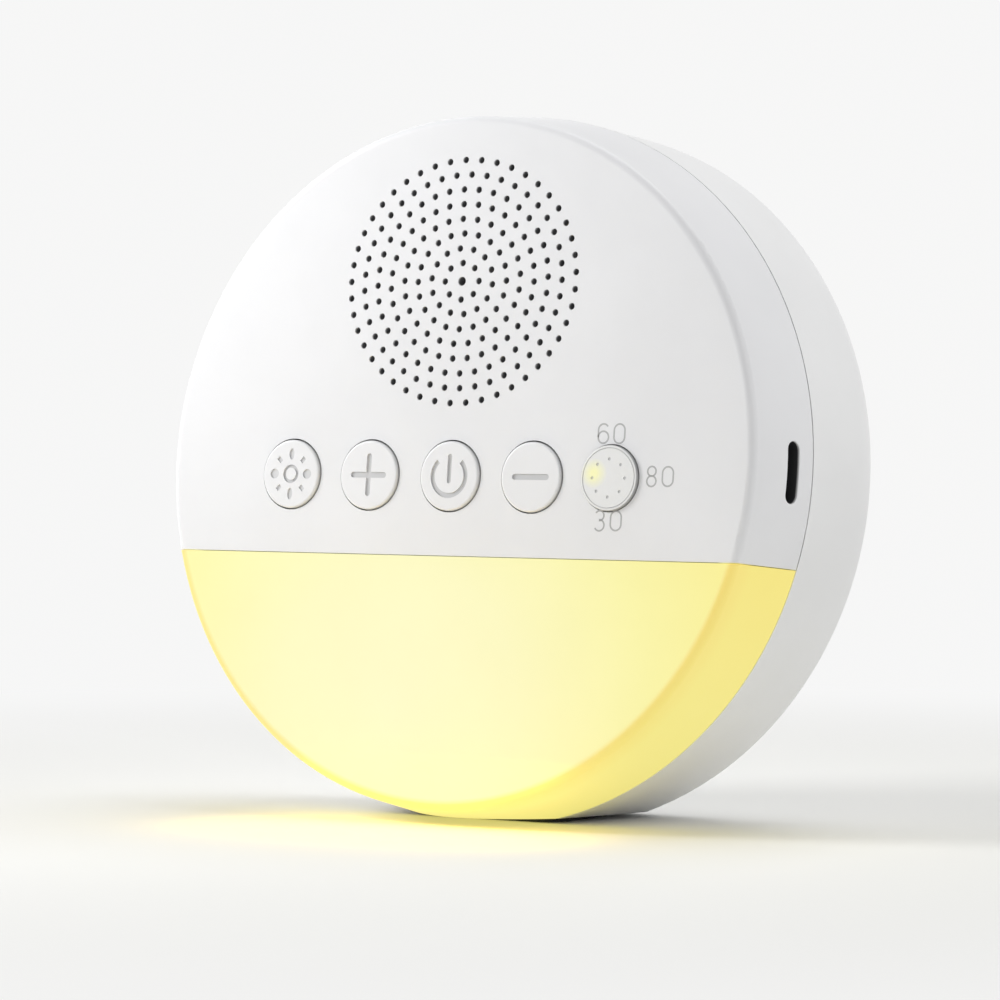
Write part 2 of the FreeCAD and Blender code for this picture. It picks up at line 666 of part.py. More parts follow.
def arc_slot(sketch, radius, stroke, start, end):
    """A ring sector of a stroke, from one angle to another, in degrees, round the origin."""
    inner, outer = "(%s) - (%s)/2" % (radius, stroke), "(%s) + (%s)/2" % (radius, stroke)
    a, b = math.radians(start), math.radians(end)
    centre, axis = FreeCAD.Vector(0, 0, 0), FreeCAD.Vector(0, 0, 1)
    first = sketch.GeometryCount
    for reach in (outer, inner):
        sketch.addGeometry(Part.ArcOfCircle(Part.Circle(centre, axis, size(reach)), a, b))
        index = sketch.addConstraint(Sketcher.Constraint("Radius", sketch.GeometryCount - 1, size(reach)))
        sketch.setExpression("Constraints[%d]" % index, linked(reach))
        sketch.addConstraint(Sketcher.Constraint("Coincident", sketch.GeometryCount - 1, 3, -1, 1))

    for point, angle in ((1, a), (2, b)):
        way = FreeCAD.Vector(math.cos(angle), math.sin(angle), 0)
        line = sketch.addGeometry(Part.LineSegment(way * size(inner), way * size(outer)))
        sketch.addConstraint(Sketcher.Constraint("Coincident", line, 1, first + 1, point))
        sketch.addConstraint(Sketcher.Constraint("Coincident", line, 2, first, point))
        sketch.addConstraint(Sketcher.Constraint("PointOnObject", -1, 1, line))
        sketch.addConstraint(Sketcher.Constraint("Angle", line, angle % (2 * math.pi)))


STROKE_END_SIDES = 6


def stroke(length, width, upright=False, up="0"):
    """A bar with round ends, across or upright."""
    def draw(sketch):
        points = []
        for start, side in ((-90, "+"), (90, "-")):
            for k in range(STROKE_END_SIDES + 1):
                turn = "%.1f deg" % (start + 180.0 * k / STROKE_END_SIDES)
                along = "%s(%s - %s)/2 + (%s)/2*cos(%s)" % (side, length, width, width, turn)
                points.append((along, "(%s)/2*sin(%s)" % (width, turn)))
        if upright:
            points = [(b, "%s + %s" % (up, a)) for a, b in points]
        draw_polygon(sketch, points)
    return draw


# Half the opening of the power symbol's arc, degrees from its top
POWER_GAP = 43
plus = button_cap("plus")
sunk(plus, stroke("symbol_length", "symbol_stroke"))
sunk(plus, stroke("symbol_length", "symbol_stroke", True))
minus = button_cap("minus")
sunk(minus, stroke("symbol_length", "symbol_stroke"))
power = button_cap("power")
sunk(power, lambda sketch: arc_slot(sketch, "power_radius", "power_stroke", 90 + POWER_GAP, 450 - POWER_GAP))
sunk(power, stroke("power_bar", "power_stroke", True, "power_bar_up"))
light = button_cap("light")


def sun_ring(sketch):
    draw_circle(sketch, "0", "0", "sun_radius + sun_stroke/2")
    draw_circle(sketch, "0", "0", "sun_radius - sun_stroke/2")


sunk(light, sun_ring)
OVAL_SIDES = 16


def oval(across, up, half_width, half_height):
    def draw(sketch):
        points = []
        for k in range(OVAL_SIDES):
            turn = "%.2f deg" % (360.0 * k / OVAL_SIDES)
            points.append(("%s + (%s)*cos(%s)" % (across, half_width, turn),
                           "%s + (%s)*sin(%s)" % (up, half_height, turn)))
        draw_polygon(sketch, points)
    return draw


def slanted_ray(sketch):
    near, far = "ray_circle*0.7071 - ray_short/2", "ray_circle*0.7071 + ray_short/2"
    thin = "ray_width/4"
    draw_polygon(sketch, [("%s + %s" % (near, thin), "%s - %s" % (near, thin)),
                          ("%s + %s" % (far, thin), "%s - %s" % (far, thin)),
                          ("%s - %s" % (far, thin), "%s + %s" % (far, thin)),
                          ("%s - %s" % (near, thin), "%s + %s" % (near, thin))])


for draw, copies in ((oval("0", "ray_circle", "ray_width/2", "ray_long/2"), 2),
                     (oval("ray_circle", "0", "ray_long*0.45", "ray_width*0.8"), 2), (slanted_ray, 4)):
    ray = pocket(light, "button_proud + overcut", "ray_depth + overcut", draw)
    pattern(light, ray, copies)
CAPS = {"light": light, "plus": plus, "power": power, "minus": minus}
for label, place in CONTROLS:
    seat(CAPS[label], place, "-row_drop")
    node(CAPS[label], label + "_button")


# Tact switches: bored bodies on the board, with a plunger that a button's stem rests on
def tact_switch(label, place):
    low = BOARD_FACE
    body = solid_body(label + "_switch")
    pad(body, "0", "switch_height", rectangle("0", "0", "switch_side", "switch_side"))
    pocket(body, "switch_height", "plunger_in + button_travel + 2*slide_gap",
           circles([("0", "0")], "plunger_radius + slide_gap"))
    seat(body, place, "-row_drop", low)
    node(body, label + "_switch")
    plunger = solid_body(label + "_plunger")
    pad(plunger, "switch_height - plunger_in", "plunger_in + plunger_out",
        circles([("0", "0")], "plunger_radius"))
    seat(plunger, place, "-row_drop", low)
    node(plunger, label + "_plunger")


for label, place in CONTROLS:
    tact_switch(label, place)

# Timer: translucent dial on the shaft of a rotary encoder that turns and can be pressed
dial = solid_body("timer_dial_body")
pad(dial, "dial_proud - dial_height", "dial_height", circles([("0", "0")], "dial_radius"))
round_edges(dial, "dial_round", ring_at("dial_radius", "dial_proud"))
dot = pocket(dial, "dial_proud + overcut", "dot_depth + overcut", circles([("dot_circle", "0")],
                                                                          "dot_radius"))
pattern(dial, dot, 8)


def rim_groove(sketch):
    draw_circle(sketch, "0", "0", "rim_circle + rim_line/2")
    draw_circle(sketch, "0", "0", "rim_circle - rim_line/2")


pocket(dial, "dial_proud + overcut", "dot_depth + overcut", rim_groove)
pocket(dial, "dial_proud - dial_height + shaft_grip", "shaft_grip", circles([("0", "0")], "shaft_radius"))
seat(dial, "timer_place", "-row_drop")
node(dial, "timer_dial")
SHAFT_TOP = "(dial_proud - dial_height + shaft_grip)"
ENCODER_TOP = "(%s + encoder_height)" % BOARD_FACE
SHAFT_END = "(%s + encoder_wall + dial_press + 4*slide_gap)" % BOARD_FACE
shaft = cylinder("timer_shaft_rod", "shaft_radius", "%s - %s" % (SHAFT_TOP, SHAFT_END), "timer_place",
                 "-row_drop",
                 SHAFT_END)
node(shaft, "timer_shaft")
hub = solid_body("timer_rotor_body")


def hub_ring(sketch):
    draw_circle(sketch, "0", "0", "hub_radius")
    draw_circle(sketch, "0", "0", "shaft_radius + slide_gap")


pad(hub, "0", "hub_height", hub_ring)
seat(hub, "timer_place", "-row_drop", ENCODER_TOP + " - hub_height - encoder_wall - slide_gap")
node(hub, "timer_rotor")
housing = solid_body("timer_encoder_body")
pad(housing, "0", "encoder_height", rectangle("0", "0", "encoder_side", "encoder_side"))
pocket(housing, "encoder_height", "encoder_height - encoder_wall",
       circles([("0", "0")], "shaft_radius + slide_gap"))
pocket(housing, "encoder_height - encoder_wall", "hub_height + 2*slide_gap",
       circles([("0", "0")], "hub_radius + slide_gap"))
seat(housing, "timer_place", "-row_drop", BOARD_FACE)
node(housing, "timer_encoder")
lamp = block("timer_lamp_chip", "led_side/2", "led_side/2", "led_height",
             "timer_place - encoder_side/2 - led_side/2",
             "-row_drop", BOARD_FACE)
node(lamp, "timer_lamp")

# Boards
board = solid_body("main_board_body")
pad(board, "0", "board_thick", rectangle("(board_right - board_left)/2", "(board_up - board_down)/2",
                                         "board_left + board_right", "board_up + board_down"))
pocket(board, "board_thick", "board_thick", circles(POSTS, "small_screw_radius + 2*slide_gap"))
seat(board, "0", "0", BOARD_BACK)
node(board, "main_board")
light_board = solid_body("light_board_body")


def board_segment(sketch):
    """The round segment below the diffuser's chord: one straight edge and one arc."""
    top, reach = size("chord_drop + light_board_gap"), size("light_board_radius")
    end = math.asin(top / reach)
    circle = Part.Circle(FreeCAD.Vector(0, 0, 0), FreeCAD.Vector(0, 0, 1), reach)
    arc = sketch.addGeometry(Part.ArcOfCircle(circle, math.pi + end, 2 * math.pi - end))
    half = reach * math.cos(end)
    line = sketch.addGeometry(Part.LineSegment(FreeCAD.Vector(half, -top, 0), FreeCAD.Vector(-half, -top, 0)))
    sketch.addConstraint(Sketcher.Constraint("Coincident", arc, 3, -1, 1))
    sketch.addConstraint(Sketcher.Constraint("Coincident", arc, 2, line, 1))
    sketch.addConstraint(Sketcher.Constraint("Coincident", arc, 1, line, 2))
    sketch.addConstraint(Sketcher.Constraint("Horizontal", line))
    index = sketch.addConstraint(Sketcher.Constraint("Radius", arc, reach))
    sketch.setExpression("Constraints[%d]" % index, linked("light_board_radius"))
    index = sketch.addConstraint(Sketcher.Constraint("DistanceY", line, 1, -1, 1, top))
    sketch.setExpression("Constraints[%d]" % index, linked("chord_drop + light_board_gap"))


LED_FIRST = 270 - size("led_step") * (size("led_count") - 1) / 2
LED_TURNS = [LED_FIRST + k * size("led_step") for k in range(int(size("led_count")))]
LEDS = [("led_circle*cos(%.3f deg)" % turn, "led_circle*sin(%.3f deg)" % turn) for turn in LED_TURNS]
pad(light_board, "0", "light_board_thick", board_segment)
pocket(light_board, "light_board_thick", "light_board_thick",
       circles(LOWER_SCREWS, "case_screw_radius + 2*slide_gap"))
seat(light_board, "0", "0", LIGHT_BACK)
node(light_board, "light_board")
reflector = solid_body("light_reflector_body")
pad(reflector, "0", "reflector_thick", board_segment)
pocket(reflector, "reflector_thick", "reflector_thick", circles(LOWER_SCREWS,
                                                                "case_post_radius + 2*slide_gap"))
pocket(reflector, "reflector_thick", "reflector_thick", circles(LEDS, "led_side*0.8"))
seat(reflector, "0", "0", "-light_board_depth")
node(reflector, "light_reflector")
group("light_leds", every("light_led", block, LEDS, "led_side", "led_side", "led_height",
                          low="-light_board_depth"))


# Screws: slotted heads, each kind one group of separate solids
def screw(name, shank, head, head_height, length, across, up, seat_depth):
    body = solid_body(name)
    pad(body, "0", length, circles([("0", "0")], shank))
    pad(body, "-(%s)" % head_height, head_height, circles([("0", "0")], head))
    pocket(body, "-(%s) + head_slot_depth" % head_height, "head_slot_depth",
           rectangle("0", "0", "2*(%s) + overcut" % head, "head_slot"))
    seat(body, across, up, seat_depth)
    return body


def screws(label, places, *sizes):
    return group(label, [screw("%s_%d" % (label, k), *sizes[:-1], across=across, up=up, seat_depth=sizes[-1])
                         for k, (across, up) in enumerate(places, start=1)])


screws("board_screws", POSTS, "small_screw_radius", "small_head_radius", "small_head",
       "small_screw_length", BOARD_BACK)
screws("speaker_screws", speaker_screw_places(), "small_screw_radius", "washer_radius", "washer_thick",
       "gasket_thick - 2*slide_gap", FLANGE_BACK)
screws("case_screws", ALL_SCREWS, "case_screw_radius", "case_head_radius", "case_head", "case_screw_length",
       "-case_seat")


# Speaker: all turned about its own axis
def speaker_part(label, points):
    body = turned(label + "_body", points)
    seat(body, "0", "grille_up")
    return node(body, label)


speaker_part("dust_mesh", [("0", "-plate"), ("speaker_radius", "-plate"), ("speaker_radius",
                                                                           "-plate - mesh_thick"),
                           ("0", "-plate - mesh_thick")])
speaker_part("speaker_gasket", [("gasket_inner", "-plate - mesh_thick"), ("speaker_radius",
                                                                          "-plate - mesh_thick"),
                                ("speaker_radius", GASKET_BACK), ("gasket_inner", GASKET_BACK)])
basket = turned("speaker_basket_body", [
    ("basket_hole", GASKET_BACK), ("speaker_radius", GASKET_BACK), ("speaker_radius", FLANGE_BACK),
    ("basket_hole + flange_steel", FLANGE_BACK), ("basket_foot + flange_steel", TOP_PLATE_FACE),
    ("magnet_inner", TOP_PLATE_FACE), ("magnet_inner", TOP_PLATE_FACE + " + flange_steel"),
    ("basket_foot", TOP_PLATE_FACE + " + flange_steel"), ("basket_hole", FLANGE_BACK)])
window = pocket(basket, FLANGE_BACK + " - flange_steel", "basket_depth - 4*flange_steel",
                rectangle("(basket_hole + basket_foot)/2 + flange_steel", "0",
                          "basket_hole - basket_foot + overcut",
                          "basket_foot*0.8"))
pattern(basket, window, 4)
seat(basket, "0", "grille_up", "0", 45)
node(basket, "speaker_basket")
ROLL = "((basket_hole - surround_inner)/2)"


def roll_profile():
    """The half roll of the surround as a bent strip: lip, roll and inner land."""
    centre = "(surround_inner + %s)" % ROLL
    outer, inner = [], []
    for k in range(9):
        angle = "%.2f deg" % (k * 22.5)
        outer.append(("%s + (%s)*cos(%s)" % (centre, ROLL, angle),
                      GASKET_BACK + " + surround_thick + (%s)*sin(%s)*0.9" % (ROLL, angle)))
        inner.append(("%s + (%s - surround_thick)*cos(%s)" % (centre, ROLL, angle),
                      GASKET_BACK + " + (%s)*sin(%s)*0.9" % (ROLL, angle)))
    lip = [("gasket_inner - slide_gap", GASKET_BACK), ("gasket_inner - slide_gap",
                                                       GASKET_BACK + " + surround_thick")]
    return lip + outer + inner[::-1]


speaker_part("speaker_surround", roll_profile())
CONE_TOP = GASKET_BACK
CONE_LOW = GASKET_BACK + " - cone_drop"
speaker_part("speaker_cone", [("surround_inner + surround_thick", CONE_TOP),
                              ("surround_inner + surround_thick", CONE_TOP + " - cone_thick"),
                              ("surround_inner", CONE_TOP + " - cone_thick"),
                              ("coil_radius", CONE_LOW + " - cone_thick"), ("coil_radius", CONE_LOW),
                              ("surround_inner - cone_thick", CONE_TOP)])
speaker_part("speaker_dust_cap", [("0", CONE_LOW + " + cap_rise"), ("coil_radius*0.45",
                                                                    CONE_LOW + " + cap_rise*0.9"),
                                  ("coil_radius*0.8", CONE_LOW + " + cap_rise*0.6"), ("coil_radius",
                                                                                      CONE_LOW),
                                  ("coil_radius*0.93", CONE_LOW), ("coil_radius*0.75",
                                                                   CONE_LOW + " + cap_rise*0.5"),
                                  ("coil_radius*0.42", CONE_LOW + " + cap_rise*0.78"),
                                  ("0", CONE_LOW + " + cap_rise*0.88")])
COIL_END = "(%s - top_plate_thick - coil_gap)" % TOP_PLATE_FACE
speaker_part("voice_coil", [("coil_radius - former_wall", CONE_LOW), ("coil_radius",
                                                                      CONE_LOW + " - cone_thick"),
                            ("coil_radius", TOP_PLATE_FACE + " + coil_gap"),
                            ("coil_radius + coil_wall", TOP_PLATE_FACE + " + coil_gap"),
                            ("coil_radius + coil_wall", COIL_END), ("coil_radius - former_wall", COIL_END)])
SPIDER = "(%s + flange_steel + 1.2*flange_steel)" % TOP_PLATE_FACE


def spider_profile():
    upper, lower = [], []
    count = 9
    for k in range(count):
        reach = "coil_radius + slide_gap + (basket_foot - coil_radius)*%d/%d" % (k, count - 1)
        wave = "%s + flange_steel*%.1f" % (SPIDER, 0.5 * (k % 2))
        upper.append((reach, wave + " + former_wall"))
        lower.append((reach, wave))
    return upper + lower[::-1]


speaker_part("speaker_spider", spider_profile())
speaker_part("speaker_top_plate", [
    ("coil_radius + coil_wall + coil_gap", TOP_PLATE_FACE), ("basket_foot", TOP_PLATE_FACE),
    ("basket_foot", TOP_PLATE_FACE + " - top_plate_thick"),
    ("coil_radius + coil_wall + coil_gap", TOP_PLATE_FACE + " - top_plate_thick")])
MAGNET_FACE = "(%s - top_plate_thick)" % TOP_PLATE_FACE
YOKE_FACE = "(%s - magnet_thick)" % MAGNET_FACE
speaker_part("speaker_magnet", [("magnet_inner", MAGNET_FACE), ("magnet_radius", MAGNET_FACE),
                                ("magnet_radius", YOKE_FACE), ("magnet_inner", YOKE_FACE)])
speaker_part("speaker_yoke", [("0", TOP_PLATE_FACE), ("coil_radius - former_wall - coil_gap", TOP_PLATE_FACE),
                              ("coil_radius - former_wall - coil_gap", YOKE_FACE), ("basket_foot", YOKE_FACE),
                              ("basket_foot", YOKE_FACE + " - yoke_thick"), ("0",
                                                                             YOKE_FACE + " - yoke_thick")])

# USB-C inlet: steel shell closed at the back, and its tongue
usb_case = slot_tool("usb_shell_body", "usb_width", "usb_height", "usb_length", USB_MOUTH + " - usb_length")
usb_inside = slot_tool("usb_inside", "usb_width - 2*usb_wall", "usb_height - 2*usb_wall", "usb_length",
                       USB_MOUTH + " - usb_length + usb_back")
node(boolean("Cut", "usb_shell_cut", usb_case, usb_inside), "usb_shell")
tongue = solid_body("usb_tongue_body")
tongue_sketch = new_sketch(tongue, "YZ_Plane", USB_MOUTH + " - usb_length + usb_back")
draw_box(tongue_sketch, "0", "-usb_depth", "tongue_width", "tongue_thick")
extrude(tongue, "Pad", tongue_sketch, "tongue_length")
seat(tongue, "0", "-usb_lift")
node(tongue, "usb_tongue")

# Parts on the back of the main board
# (across, up, width, height, thickness)
CHIPS = [("-6", "0", 7.0, 7.0, 1.4), ("-17", "-4", 5.0, 4.0, 1.5), ("8", "-6", 4.0, 4.0, 0.9), ("30", "-7",
                                                                                                5.0, 5.0,
                                                                                                0.9)]


def on_board_back(name, width, height, thick, across, up):
    return block(name, width, height, thick, across, up, "%s - (%s)" % (BOARD_BACK, thick))


group("board_chips", [on_board_back("chip_%d" % k, str(w), str(d), str(t), a, u)
                      for k, (a, u, w, d, t) in enumerate(CHIPS, start=1)])
# Capacitors and lead sockets: (across, up)
CAN_PLACES = [("-29", "-6.5"), ("-36.5", "-6.5")]
group("board_capacitors", every("capacitor", cylinder, CAN_PLACES, "can_radius", "can_height",
                                low=BOARD_BACK + " - can_height"))
SOCKETS = [("14.5", "-6"), ("-30", "3.5"), ("2", "-9")]
PLUG_FACE = "(%s - socket_length)" % BOARD_BACK
WIRE_START = "(%s - plug_length)" % PLUG_FACE
group("lead_sockets", every("lead_socket", block, SOCKETS, "socket_width", "socket_height", "socket_length",
                            low=PLUG_FACE))
group("lead_plugs", every("lead_plug", block, SOCKETS, "socket_width - 4*wire_radius/3",
                          "socket_height - wire_radius",
                          "plug_length", low=WIRE_START))

# Battery pouch, held on the rear wall by foam tape
battery = solid_body("battery_body")
pad(battery, "0", "battery_thick", rectangle("0", "0", "battery_width", "battery_height"))
round_edges(battery, "battery_thick/4", upright_at(size("battery_thick") / 2))
seat(battery, "0", "-battery_drop", "-body_depth + wall + tape_thick")
node(battery, "battery")
tape = block("battery_tape_strip", "battery_width - 2*tape_margin", "battery_height - 2*tape_margin",
             "tape_thick",
             "0", "-battery_drop", "-body_depth + wall")
node(tape, "battery_tape")
terminal = block("speaker_terminal_strip", "terminal_width", "terminal_thick",
                 "top_plate_thick + magnet_thick/2",
                 "0", "grille_up - magnet_radius - slide_gap - terminal_thick/2",
                 MAGNET_FACE + " - magnet_thick/2")
node(terminal, "speaker_terminals")


def wire_along(name, route, radius):
    """A round wire along straight runs joined by tangent arcs."""
    points = [FreeCAD.Vector(size(a), size(b), size(c)) for a, b, c in route]
    edges = []
    start = points[0]
    for k in range(1, len(points) - 1):
        corner = points[k]
        back, ahead = points[k - 1] - corner, points[k + 1] - corner
        half = (math.pi - back.getAngle(ahead)) / 2
        cut = 0.45 * min(back.Length, ahead.Length)
        back.normalize()
        ahead.normalize()
        enter, leave = corner + back * cut, corner + ahead * cut
        inward = (back + ahead).normalize()
        bend = cut / math.tan(half)
        middle = corner + inward * (bend / math.cos(half) - bend)
        edges.append(Part.LineSegment(start, enter).toShape())
        edges.append(Part.Arc(enter, middle, leave).toShape())
        start = leave
    edges.append(Part.LineSegment(start, points[-1]).toShape())
    path = Part.Wire(edges)
    way = points[1] - points[0]
    ring = Part.Wire(Part.Circle(points[0], way, size(radius)).toShape())
    wire = doc.addObject("Part::Feature", name)
    wire.Shape = path.makePipeShell([ring], True, False)
    seat(wire)
    return wire


def lead(label, route):
    """Two wires side by side along one route."""
    wires = []
    for k, side in enumerate(("-", "+"), start=1):
        shifted = [("%s %s wire_pitch/2" % (a, side), b, c) for a, b, c in route]
        wires.append(wire_along("%s_%d" % (label, k), shifted, "wire_radius"))
    group(label, wires)


BATTERY_TOP = "(-battery_drop + battery_height/2)"
BATTERY_MIDDLE = "(-body_depth + wall + tape_thick + battery_thick/2)"
TERMINAL_LOW = "(grille_up - magnet_radius - slide_gap - terminal_thick)"
lead("speaker_lead", [(SOCKETS[0][0], SOCKETS[0][1], WIRE_START), (SOCKETS[0][0], SOCKETS[0][1],
                                                                   "-yoke_route"),
                      ("0", "speaker_wire_up", "-yoke_route"),
                      ("0", "speaker_wire_up + plug_length", MAGNET_FACE + " - plug_length"),
                      ("0", TERMINAL_LOW, MAGNET_FACE + " - plug_length + wire_radius")])
lead("battery_lead", [("-battery_width/5", BATTERY_TOP, BATTERY_MIDDLE), ("-battery_width/5", "0",
                                                                          BATTERY_MIDDLE),
                      (SOCKETS[1][0], SOCKETS[1][1], BATTERY_MIDDLE), (SOCKETS[1][0], SOCKETS[1][1],
                                                                       WIRE_START)])
LIGHT_ROUTE = "(%s - 4*wire_radius)" % WIRE_START
lead("light_lead", [(SOCKETS[2][0], "-light_wire_drop", LIGHT_BACK),
                    (SOCKETS[2][0], "-light_wire_drop", "-light_wire_depth"),
                    (SOCKETS[2][0], "-light_wire_drop + light_wire_rise", LIGHT_ROUTE),
                    (SOCKETS[2][0], SOCKETS[2][1], LIGHT_ROUTE), (SOCKETS[2][0], SOCKETS[2][1], WIRE_START)])


def check_document():
    for thing in doc.Objects:
        if "Invalid" in thing.State or "Error" in thing.State:
            raise RuntimeError("%s failed: %s" % (thing.Label, thing.State))
    for thing in NODES:
        if thing.Shape.isNull() or not thing.Shape.isValid():
            raise RuntimeError("bad shape: " + thing.Label)


doc.recompute()
check_document()
os.makedirs("parts", exist_ok=True)
for thing in NODES:
    thing.Shape.exportStep("parts/%s.step" % thing.Label)
    print(thing.Label, len(thing.Shape.Solids), round(thing.Shape.Volume, 1))
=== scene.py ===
import math
import bpy
import bmesh
from mathutils import Matrix, Vector


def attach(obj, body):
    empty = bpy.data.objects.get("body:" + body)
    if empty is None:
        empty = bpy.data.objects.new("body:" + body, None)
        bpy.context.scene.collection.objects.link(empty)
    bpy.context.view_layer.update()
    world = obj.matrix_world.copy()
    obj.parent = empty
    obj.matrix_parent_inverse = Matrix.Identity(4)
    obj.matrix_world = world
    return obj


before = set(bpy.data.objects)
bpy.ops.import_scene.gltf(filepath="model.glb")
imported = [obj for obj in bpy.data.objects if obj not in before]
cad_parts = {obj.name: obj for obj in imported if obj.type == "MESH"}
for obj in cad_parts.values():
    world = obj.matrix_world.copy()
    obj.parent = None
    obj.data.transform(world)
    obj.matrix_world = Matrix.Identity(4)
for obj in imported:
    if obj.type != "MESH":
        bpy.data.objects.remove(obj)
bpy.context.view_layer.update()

# Where the drum stands: the middle of its flat face and the way the face looks.
# Every piece made here starts in the drum's own axes, X across, Y up the face, Z out of it.
LEAN = math.radians(6.0)
FACE_MIDDLE = Vector((0.0, -0.018228, 0.0553))
drum = Matrix.Translation(FACE_MIDDLE) @ Matrix.Rotation(math.pi / 2 - LEAN, 4, "X")

# Camera: a long lens a little above the table, turned towards the drum's right side.
# Its place is worked out from the outline of the face, the parting line and the row of buttons.
CAMERA_TURN = math.radians(33.95)
CAMERA_AIM = math.radians(33.3275)
CAMERA_DROP = math.radians(1.4555)
CAMERA_DISTANCE = 0.6805
CAMERA_HEIGHT = 0.0667
CAMERA_LENS = 160.93

camera_data = bpy.data.cameras.new("camera")
camera_data.lens = CAMERA_LENS
camera_data.sensor_width = 36.0
camera_data.clip_start = 0.01
camera = bpy.data.objects.new("camera", camera_data)
bpy.context.scene.collection.objects.link(camera)
camera.location = (math.sin(CAMERA_TURN) * CAMERA_DISTANCE,
                   FACE_MIDDLE.y - math.cos(CAMERA_TURN) * CAMERA_DISTANCE, CAMERA_HEIGHT)
aim = Vector((-math.sin(CAMERA_AIM) * math.cos(CAMERA_DROP), math.cos(CAMERA_AIM) * math.cos(CAMERA_DROP),
              -math.sin(CAMERA_DROP)))
camera.rotation_euler = aim.to_track_quat("-Z", "Y").to_euler()
bpy.context.scene.camera = camera
bpy.context.scene.view_settings.view_transform = "Standard"


# Front shell: satin white ABS, moulded in one with the speaker grille and the button openings.
# The mould leaves a fine even texture and the colour wanders very slightly over the face.
def new_material(name):
    material = bpy.data.materials.new(name)
    material.use_nodes = True
    return material, material.node_tree.nodes, material.node_tree.links


def noise(nodes, links, scale, detail=3.0):
    place = nodes.new("ShaderNodeTexCoord")
    pattern = nodes.new("ShaderNodeTexNoise")
    pattern.inputs["Scale"].default_value = scale
    pattern.inputs["Detail"].default_value = detail
    links.new(place.outputs["Object"], pattern.inputs["Vector"])
    return pattern.outputs["Fac"]


def drum_place(nodes, links):
    """The drum's own axes in a material: X across, Y up the face, Z out of it, in metres."""
    place = nodes.new("ShaderNodeTexCoord")
    moved = nodes.new("ShaderNodeVectorMath")
    moved.operation = "SUBTRACT"
    moved.inputs[1].default_value = FACE_MIDDLE
    turned = nodes.new("ShaderNodeVectorRotate")
    turned.rotation_type = "X_AXIS"
    turned.inputs["Angle"].default_value = LEAN - math.pi / 2
    links.new(place.outputs["Object"], moved.inputs[0])
    links.new(moved.outputs["Vector"], turned.inputs["Vector"])
    return turned.outputs["Vector"]


def off_axis(nodes, links, vector, centre=(0.0, 0.0)):
    """How far a point is from a line out of the face, in metres."""
    flat = nodes.new("ShaderNodeVectorMath")
    flat.operation = "MULTIPLY"
    flat.inputs[1].default_value = (1.0, 1.0, 0.0)
    offset = nodes.new("ShaderNodeVectorMath")
    offset.operation = "DISTANCE"
    offset.inputs[1].default_value = (*centre, 0.0)
    links.new(vector, flat.inputs[0])
    links.new(flat.outputs["Vector"], offset.inputs[0])
    return offset.outputs["Value"]


def measure(nodes, links, vector, centre=(0.0, 0.0), low=0.0, high=1.0):
    """The same distance as 0 at low and 1 at high."""
    return between(nodes, links, off_axis(nodes, links, vector, centre), low, high)


def between(nodes, links, value, low, high):
    band = nodes.new("ShaderNodeMapRange")
    band.inputs["From Min"].default_value = low
    band.inputs["From Max"].default_value = high
    links.new(value, band.inputs["Value"])
    return band.outputs["Result"]


def depth(nodes, links, vector, low, high):
    """0 below the height low out of the face, 1 above high."""
    parts = nodes.new("ShaderNodeSeparateXYZ")
    links.new(vector, parts.inputs["Vector"])
    return between(nodes, links, parts.outputs["Z"], low, high)


def ramp(nodes, links, factor, *stops):
    band = nodes.new("ShaderNodeValToRGB")
    elements = band.color_ramp.elements
    while len(elements) < len(stops):
        elements.new(0.5)
    for element, (place, colour) in zip(elements, stops):
        element.position = place
        element.color = (*colour, 1.0)
    links.new(factor, band.inputs["Fac"])
    return band.outputs["Color"]


def finish(name, colour, roughness, grain=0.0, grain_scale=3000.0, shift=0.02, shift_scale=40.0, metal=0.0):
    """A material whose colour drifts a little, with a fine grain in its roughness and bump."""
    material, nodes, links = new_material(name)
    shader = nodes["Principled BSDF"]
    shader.inputs["Metallic"].default_value = metal
    dark = tuple(max(0.0, c * (1 - shift)) for c in colour)
    light = tuple(min(1.0, c * (1 + shift)) for c in colour)
    links.new(ramp(nodes, links, noise(nodes, links, shift_scale), (0.35, dark), (0.65, light)),
              shader.inputs["Base Color"])
    grainy = noise(nodes, links, grain_scale, 5.0)
    spread = nodes.new("ShaderNodeMapRange")
    spread.inputs["To Min"].default_value = max(0.05, roughness - 0.06)
    spread.inputs["To Max"].default_value = min(1.0, roughness + 0.06)
    links.new(grainy, spread.inputs["Value"])
    links.new(spread.outputs["Result"], shader.inputs["Roughness"])
    if grain:
        bump = nodes.new("ShaderNodeBump")
        bump.inputs["Strength"].default_value = grain
        bump.inputs["Distance"].default_value = 0.00002
        links.new(grainy, bump.inputs["Height"])
        links.new(bump.outputs["Normal"], shader.inputs["Normal"])
    return material


def paint_light_or_shade(material, lighten, painted_colour):
    """Turns the material's colour towards the given colour where lighten is 0; used for painted shade and for
    the dial's painted glow.
    """
    nodes, links = material.node_tree.nodes, material.node_tree.links
    colour = nodes["Principled BSDF"].inputs["Base Color"]
    mixed = nodes.new("ShaderNodeMixRGB")
    links.new(lighten, mixed.inputs["Fac"])
    mixed.inputs["Color1"].default_value = (*painted_colour, 1.0)
    links.new(colour.links[0].from_socket, mixed.inputs["Color2"])
    links.new(mixed.outputs["Color"], colour)


def larger(nodes, links, first, second):
    chosen = nodes.new("ShaderNodeMath")
    chosen.operation = "MAXIMUM"
    links.new(first, chosen.inputs[0])
    links.new(second, chosen.inputs[1])
    return chosen.outputs["Value"]


def dress(material, *names):
    for name in names:
        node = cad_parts[name]
        for slot in node.material_slots:
            slot.material = material
